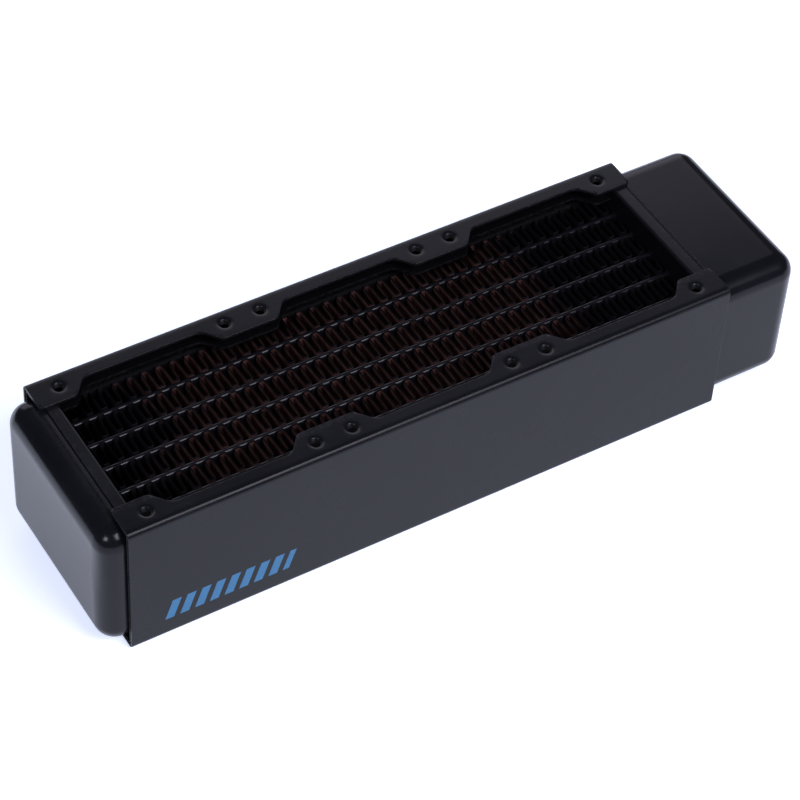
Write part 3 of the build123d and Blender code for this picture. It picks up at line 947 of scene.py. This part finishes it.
def brass_material(finish, node):
    """Turned brass: fine rings about the piece's own axis, with a faint darker stain."""
    low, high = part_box(node)
    material, tree, shader, place = new_material("turned_brass_" + node)
    centre = (-(low.x + high.x) / 2, -(low.y + high.y) / 2, 0)
    local = add_node(tree, "ShaderNodeMapping", {"Vector": place, "Location": centre}).outputs[0]
    inputs = {"Vector": local, "Scale": 900.0, "Distortion": 1.5}
    rings = add_node(tree, "ShaderNodeTexWave", inputs, wave_type="RINGS", rings_direction="Z").outputs[1]
    stain = fade(tree, noise(tree, place, 160.0, 4.0), 0.45, 0.75)
    base = blend(tree, stain, solid(finish.brass), solid(finish.brass_stain))
    rough = maths(tree, "MULTIPLY_ADD", stain, 0.2, 0.26)
    feed(tree, shader, {"Base Color": base, "Roughness": rough, "Normal": bump(tree, rings, 0.25, 0.03 * MM)})
    feed(tree, shader, {"Metallic": 1.0})
    return material


# ---- operators ----


class RADIATOR_OT_stage(bpy.types.Operator):
    """Make the camera, the pale floor, the soft lights and the dim room"""

    bl_idname = "radiator.stage"
    bl_label = "Studio"

    def execute(self, context):
        studio = context.scene.radiator_studio
        self.camera(context, studio)
        self.floor(context, studio)
        world = bpy.data.worlds.new("dim_room")
        world.use_nodes = True
        backdrop = world.node_tree.nodes["Background"]
        backdrop.inputs["Color"].default_value = (0.9, 0.93, 1.1, 1.0)
        backdrop.inputs["Strength"].default_value = studio.room
        context.scene.world = world
        context.scene.view_settings.view_transform = "Standard"
        lights = (
            ("corner_light", (-0.84, -0.43, 0.73), (0.3, 0.3), studio.corner),
            ("front_softbox", (0.24, -0.74, 0.85), (0.6, 0.5), studio.front),
            ("back_panel", (0.28, 0.97, 0.54), (1.2, 0.72), studio.back),
        )
        for name, place, extent, power in lights:
            self.area_light(context, name, place, extent, power)
        return {"FINISHED"}

    def camera(self, context, studio):
        """The camera faces its aim from the given azimuth and elevation, and is then rolled."""
        level = np.cos(studio.elevation)
        facing = (-np.sin(studio.azimuth) * level, -np.cos(studio.azimuth) * level, np.sin(studio.elevation))
        back = Vector(facing)
        right = Vector((0, 0, 1)).cross(back).normalized()
        up = back.cross(right)
        rolled = right * np.cos(studio.roll) + up * np.sin(studio.roll)
        turned = back.cross(rolled)
        data = bpy.data.cameras.new("camera")
        data.lens = studio.lens
        data.sensor_width = 36.0
        data.clip_start = 0.01
        camera = bpy.data.objects.new("camera", data)
        axes = Matrix((rolled, turned, back)).transposed()
        camera.matrix_world = Matrix.Translation(Vector(studio.aim) + back * studio.distance) @ axes.to_4x4()
        context.scene.collection.objects.link(camera)
        context.scene.camera = camera

    def floor(self, context, studio):
        """A wide pale floor just under the object that adds light: more at the left, less far in front."""
        reach, gap = 6.0, 0.2 * MM
        across = np.linspace(-reach, reach, 9)
        x, y = np.meshgrid(across, across, indexing="ij")
        points, quads = grid_part(np.stack([x, y, np.full_like(x, cad_low.z - gap)], axis=-1))
        mesh = bpy.data.meshes.new("floor")
        mesh.from_pydata(points, [], quads)
        material, tree, shader, place = new_material("pale_floor")
        paper = fade(tree, noise(tree, place, 3.0), 0.2, 0.8)
        base = blend(tree, paper, (0.86, 0.86, 0.87, 1.0), (0.89, 0.89, 0.9, 1.0))
        axes = split(tree, place)
        beside = fade(tree, axes["X"], cad_low.x - 30 * MM, cad_low.x - 11 * MM, 1.0, 0.0)
        left = maths(tree, "MULTIPLY", beside, fade(tree, axes["Y"], -50 * MM, -10 * MM))
        glow = maths(tree, "MULTIPLY_ADD", left, studio.left_glow, studio.floor_glow)
        front = fade(tree, axes["Y"], -500 * MM, -200 * MM, 0.15, 1.0)
        feed(tree, shader, {"Base Color": base, "Emission Strength": maths(tree, "MULTIPLY", glow, front)})
        feed(tree, shader, {"Roughness": 0.9, "Emission Color": (0.83, 0.92, 1.16, 1.0)})
        mesh.materials.append(material)
        floor = bpy.data.objects.new("floor", mesh)
        context.scene.collection.objects.link(floor)

    def area_light(self, context, name, place, extent, power):
        """A soft rectangular light that faces the middle of the object."""
        data = bpy.data.lights.new(name, "AREA")
        data.shape = "RECTANGLE"
        data.size, data.size_y = extent
        data.energy = power
        data.color = (0.87, 0.86, 1.0)
        light = bpy.data.objects.new(name, data)
        light.location = place
        towards = Vector((0, 0, middle_z)) - Vector(place)
        light.rotation_euler = towards.to_track_quat("-Z", "Y").to_euler()
        context.scene.collection.objects.link(light)


class RADIATOR_OT_side_channels(bpy.types.Operator):
    """Make both bent side channels with their scalloped flanges and threaded fan holes"""

    bl_idname = "radiator.side_channels"
    bl_label = "Side channels"

    def execute(self, context):
        sizes, finish = context.scene.radiator_sizes, context.scene.radiator_finish
        for place, side in (("near", -1), ("far", 1)):
            node = "side_channel_" + place
            name = "housing_coat_" + place
            coat = coat_material(finish, name, finish.gloss, 1.0, inner_wall=True, printed=side < 0)
            parts = side_channel_parts(sizes, side)
            finish_piece("bent_channel_" + place, parts, coat, "housing_coat", node)
        return {"FINISHED"}


class RADIATOR_OT_screw_guards(bpy.types.Operator):
    """Make the four strips that keep long screws off the core"""

    bl_idname = "radiator.screw_guards"
    bl_label = "Screw guards"

    def execute(self, context):
        sizes, finish = context.scene.radiator_sizes, context.scene.radiator_finish
        # The guards' coat is darkened with painted shade.
        coat = coat_material(finish, "guard_coat", finish.gloss + 0.06, 1.3, dull_and_shaded=1.0)
        for place, side in (("near", -1), ("far", 1)):
            for level in ("top", "bottom"):
                node = f"screw_guard_{level}_{place}"
                parts = screw_guard_parts(sizes, side, node)
                finish_piece(f"guard_strip_{level}_{place}", parts, coat, "housing_coat", node)
        return {"FINISHED"}


class RADIATOR_OT_header_plates(bpy.types.Operator):
    """Make both pressed header plates with their soldered seams and tube slots"""

    bl_idname = "radiator.header_plates"
    bl_label = "Header plates"

    def execute(self, context):
        sizes, finish = context.scene.radiator_sizes, context.scene.radiator_finish
        coat = coat_material(finish, "header_coat", finish.gloss, 1.0)
        for end in ("return", "port"):
            node = "header_plate_" + end
            finish_piece("header_dish_" + end, header_parts(sizes, node), coat, "tank_coat", node)
        return {"FINISHED"}


class RADIATOR_OT_tanks(bpy.types.Operator):
    """Make the short return tank and the long port tank"""

    bl_idname = "radiator.tanks"
    bl_label = "Tanks"

    def execute(self, context):
        sizes, finish = context.scene.radiator_sizes, context.scene.radiator_finish
        coat = coat_material(finish, "tank_coat", finish.gloss - 0.06, 0.6)
        low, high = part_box("return_tank")
        finish_piece("tank_return", tank_parts(sizes, high.x, low.x), coat, "tank_coat", "return_tank")
        low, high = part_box("port_tank")
        seats = []
        for port in ("inlet", "outlet"):
            first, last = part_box("port_bush_" + port)
            seats.append(((first.x + last.x) / 2, (first.y + last.y) / 2))
        finish_piece("tank_port", tank_parts(sizes, low.x, high.x, seats), coat, "tank_coat", "port_tank")
        return {"FINISHED"}


class RADIATOR_OT_port_bushes(bpy.types.Operator):
    """Make both threaded port bushes, and give the hidden divider its brass"""

    bl_idname = "radiator.port_bushes"
    bl_label = "Port bushes and divider"

    def execute(self, context):
        sizes, finish = context.scene.radiator_sizes, context.scene.radiator_finish
        for port in ("inlet", "outlet"):
            node = "port_bush_" + port
            brass = brass_material(finish, node)
            finish_piece("threaded_bush_" + port, port_bush_parts(sizes, node), brass, "raw_brass", node)
        divider = frame["nodes"]["port_tank_divider"]
        divider.data.materials.clear()
        divider.data.materials.append(brass_material(finish, "port_tank_divider"))
        return {"FINISHED"}


class RADIATOR_OT_core(bpy.types.Operator):
    """Make the flat tubes, the corrugated fin strips and the core's side plates"""

    bl_idname = "radiator.core"
    bl_label = "Tubes, fins and side plates"

    def execute(self, context):
        sizes, finish = context.scene.radiator_sizes, context.scene.radiator_finish
        tube_coat = coat_material(finish, "tube_coat", finish.gloss - 0.06, 1.0)
        # The side plates' coat is darkened with painted shade.
        plate_coat = coat_material(finish, "side_plate_coat", finish.gloss + 0.12, 1.4, dull_and_shaded=1.0)
        copper = fin_material(finish)
        for node in tube_rows:
            name = node.replace("flat", "nosed")
            finish_piece(name, flat_tube_parts(sizes, node), tube_coat, "core_coat", node)
        for node in fin_rows:
            name = node.replace("strip", "waves")
            finish_piece(name, fin_strip_parts(sizes, node), copper, "fin_copper", node)
        for place, side in (("near", -1), ("far", 1)):
            node = "core_side_plate_" + place
            parts = side_plate_parts(sizes, side, node)
            finish_piece("lipped_plate_" + place, parts, plate_coat, "core_coat", node)
        return {"FINISHED"}


class RADIATOR_PT_panel(bpy.types.Panel):
    """The radiator's sizes, finishes and pieces"""

    bl_idname = "RADIATOR_PT_panel"
    bl_label = "Radiator"
    bl_space_type = "VIEW_3D"
    bl_region_type = "UI"
    bl_category = "Radiator"

    def draw(self, context):
        for operator in OPERATORS:
            self.layout.operator(operator.bl_idname)
        scene = context.scene
        for settings in (scene.radiator_sizes, scene.radiator_finish, scene.radiator_studio):
            for name in settings.__annotations__:
                self.layout.prop(settings, name)


GROUPS = (RadiatorSizes, RadiatorFinish, RadiatorStudio)
OPERATORS = (
    RADIATOR_OT_stage,
    RADIATOR_OT_side_channels,
    RADIATOR_OT_screw_guards,
    RADIATOR_OT_header_plates,
    RADIATOR_OT_tanks,
    RADIATOR_OT_port_bushes,
    RADIATOR_OT_core,
)


def register():
    """Register the classes and hang the settings on the scene."""
    for cls in GROUPS + OPERATORS + (RADIATOR_PT_panel,):
        bpy.utils.register_class(cls)
    bpy.types.Scene.radiator_sizes = PointerProperty(type=RadiatorSizes)
    bpy.types.Scene.radiator_finish = PointerProperty(type=RadiatorFinish)
    bpy.types.Scene.radiator_studio = PointerProperty(type=RadiatorStudio)


def unregister():
    """Undo register."""
    del bpy.types.Scene.radiator_studio
    del bpy.types.Scene.radiator_finish
    del bpy.types.Scene.radiator_sizes
    for cls in reversed(GROUPS + OPERATORS + (RADIATOR_PT_panel,)):
        bpy.utils.unregister_class(cls)


def main():
    """Build the studio and every piece."""
    register()
    bpy.ops.radiator.stage()
    bpy.ops.radiator.side_channels()
    bpy.ops.radiator.screw_guards()
    bpy.ops.radiator.header_plates()
    bpy.ops.radiator.tanks()
    bpy.ops.radiator.port_bushes()
    bpy.ops.radiator.core()


if __name__ == "__main__":
    main()
